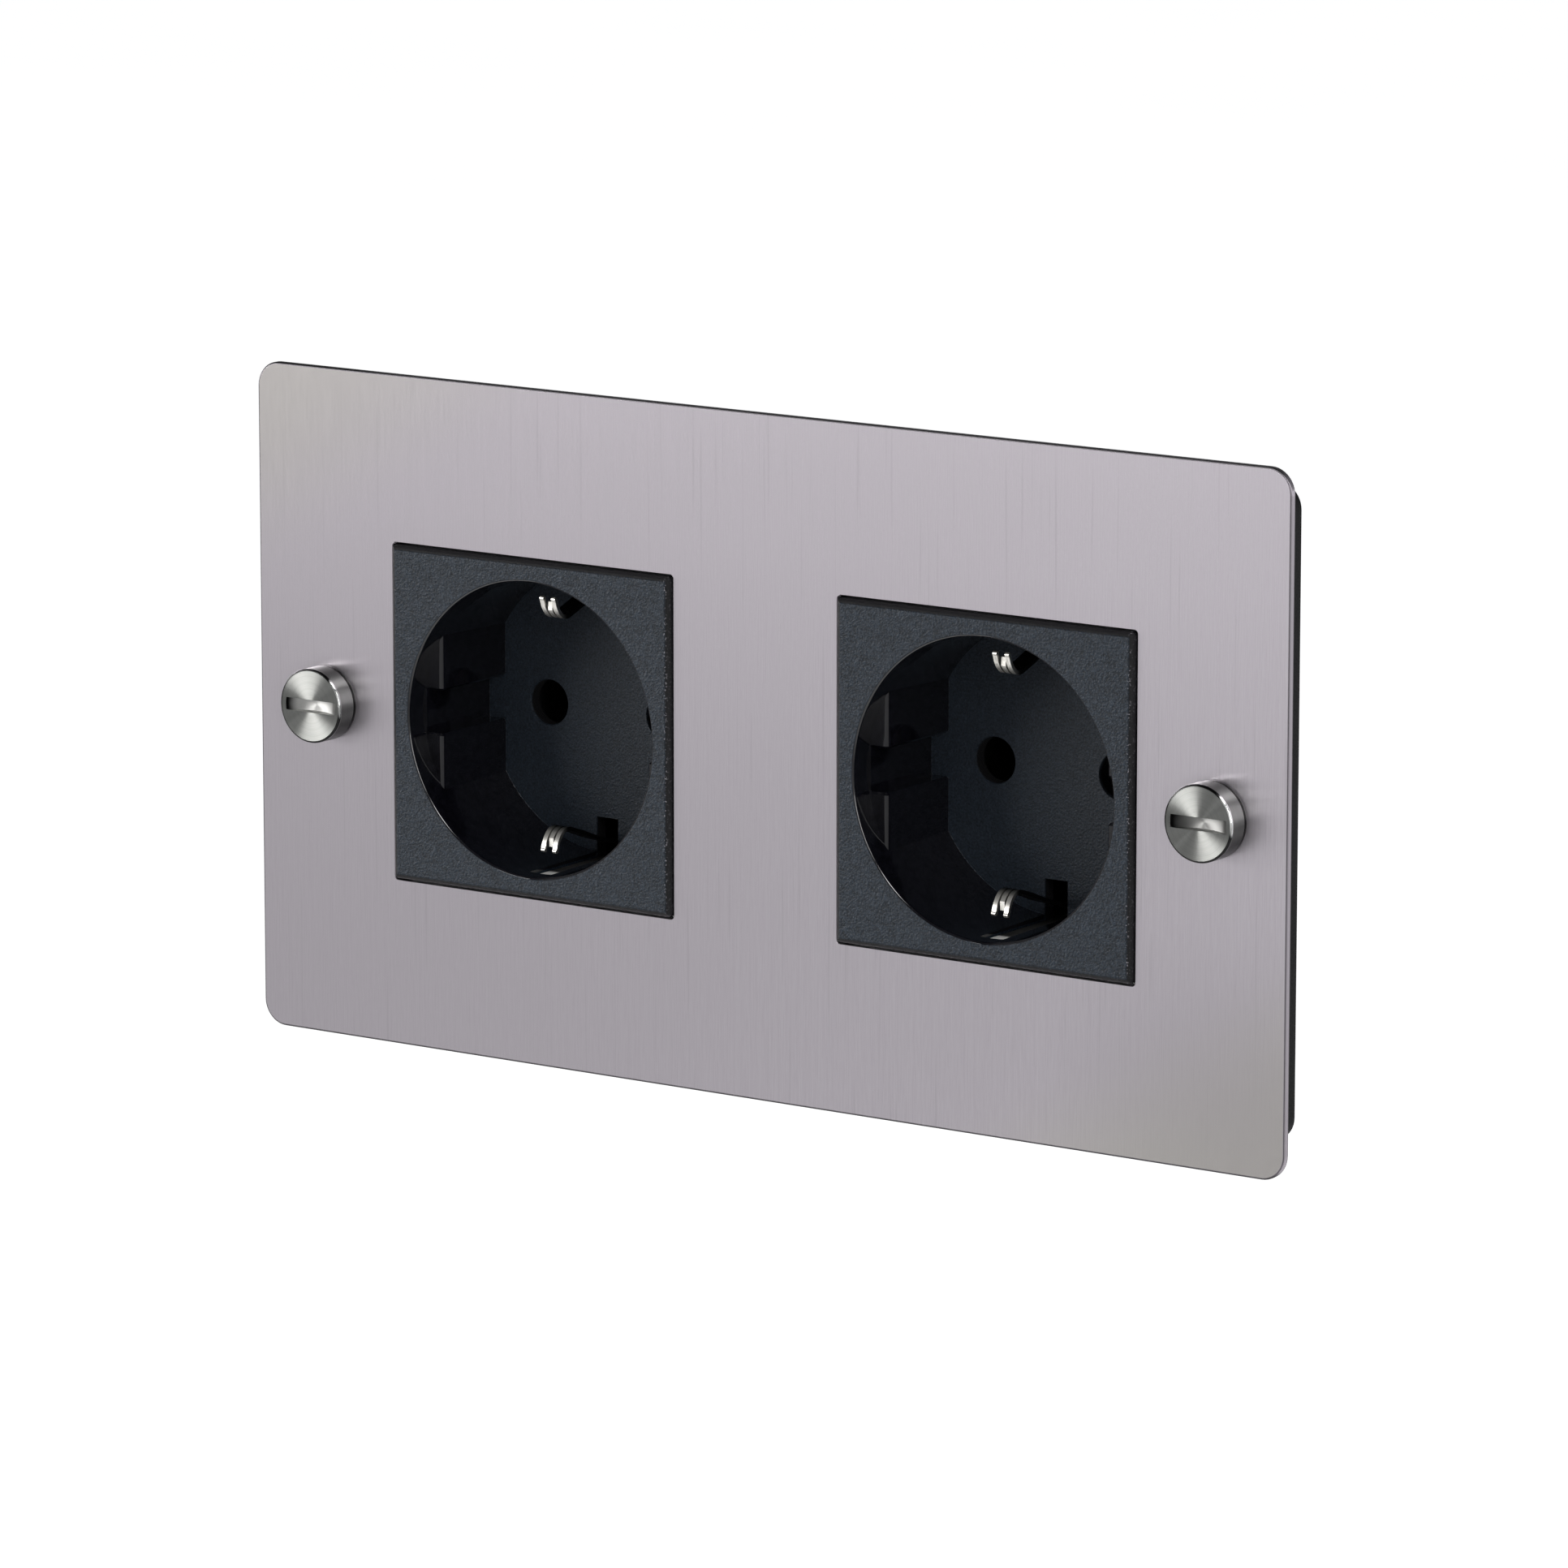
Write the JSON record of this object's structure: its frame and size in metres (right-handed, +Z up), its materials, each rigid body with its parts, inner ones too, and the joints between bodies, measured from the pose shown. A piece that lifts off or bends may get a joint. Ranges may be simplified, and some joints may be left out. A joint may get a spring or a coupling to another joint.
{
  "type": "double wall socket outlet",
  "caption": "Flush wall socket outlet: recessed round earthed sockets side by side behind a brushed steel face plate held by coin-slot screws.",
  "frame": {"origin": "on the wall plane, at the back face of the backing frame, midway between the two sockets", "axes": "+Y into the wall, +X to the right seen from the front, +Z up"},
  "size_m": [0.1608, 0.043, 0.0902],
  "materials": {
    "plate_steel": "satin, brushed from top to bottom",
    "frame_black": "matte",
    "yoke_zinc": "zinc plated",
    "screw_steel": "turned",
    "insert_black": "fine spark texture on the face and floor, gloss on the recess wall",
    "cover_black": "satin moulding",
    "spring_nickel": "nickel plated strip",
    "small_screw_zinc": "zinc plated",
    "contact_brass": "plain stamped"
  },
  "bodies": {
    "socket_assembly": {"backing_frame": "frame_black", "face_plate": "plate_steel", "left_earth_bracket": "spring_nickel", "left_earth_terminal": "contact_brass", "left_earth_terminal_screw": "small_screw_zinc", "left_line_contact": "contact_brass", "left_line_terminal": "contact_brass", "left_line_terminal_screw": "small_screw_zinc", "left_lower_cover_screw": "small_screw_zinc", "left_neutral_contact": "contact_brass", "left_neutral_terminal": "contact_brass", "left_neutral_terminal_screw": "small_screw_zinc", "left_rear_cover": "cover_black", "left_screw_bush": "yoke_zinc", "left_screw_washer": "screw_steel", "left_socket_housing": "insert_black", "left_upper_cover_screw": "small_screw_zinc", "right_earth_bracket": "spring_nickel", "right_earth_terminal": "contact_brass", "right_earth_terminal_screw": "small_screw_zinc", "right_line_contact": "contact_brass", "right_line_terminal": "contact_brass", "right_line_terminal_screw": "small_screw_zinc", "right_lower_cover_screw": "small_screw_zinc", "right_neutral_contact": "contact_brass", "right_neutral_terminal": "contact_brass", "right_neutral_terminal_screw": "small_screw_zinc", "right_rear_cover": "cover_black", "right_screw_bush": "yoke_zinc", "right_screw_washer": "screw_steel", "right_socket_housing": "insert_black", "right_upper_cover_screw": "small_screw_zinc", "support_yoke": "yoke_zinc"},
    "left_face_screw_body": {"left_face_screw": "screw_steel"},
    "right_face_screw_body": {"right_face_screw": "screw_steel"},
    "left_upper_earth_spring_body": {"left_upper_earth_spring": "spring_nickel"},
    "left_lower_earth_spring_body": {"left_lower_earth_spring": "spring_nickel"},
    "right_upper_earth_spring_body": {"right_upper_earth_spring": "spring_nickel"},
    "right_lower_earth_spring_body": {"right_lower_earth_spring": "spring_nickel"}
  },
  "joints": [
    {"name": "left_face_screw_turn", "type": "hinge", "parent": "socket_assembly", "child": "left_face_screw_body", "pos_m": [-0.06945, -0.00385, 0], "axis": [0, -1, 0], "continuous": true},
    {"name": "right_face_screw_turn", "type": "hinge", "parent": "socket_assembly", "child": "right_face_screw_body", "pos_m": [0.06945, -0.00385, 0], "axis": [0, -1, 0], "continuous": true},
    {"name": "left_upper_earth_spring_flex", "type": "hinge", "parent": "socket_assembly", "child": "left_upper_earth_spring_body", "pos_m": [-0.0355, 0.0239, 0.0192], "axis": [-1, 0, 0], "range_deg": [0, 6], "stiffness_Nm_per_rad": 0.6},
    {"name": "left_lower_earth_spring_flex", "type": "hinge", "parent": "socket_assembly", "child": "left_lower_earth_spring_body", "pos_m": [-0.0355, 0.0239, -0.0192], "axis": [1, 0, 0], "range_deg": [0, 6], "stiffness_Nm_per_rad": 0.6},
    {"name": "right_upper_earth_spring_flex", "type": "hinge", "parent": "socket_assembly", "child": "right_upper_earth_spring_body", "pos_m": [0.0355, 0.0239, 0.0192], "axis": [-1, 0, 0], "range_deg": [0, 6], "stiffness_Nm_per_rad": 0.6},
    {"name": "right_lower_earth_spring_flex", "type": "hinge", "parent": "socket_assembly", "child": "right_lower_earth_spring_body", "pos_m": [0.0355, 0.0239, -0.0192], "axis": [1, 0, 0], "range_deg": [0, 6], "stiffness_Nm_per_rad": 0.6}
  ]
}
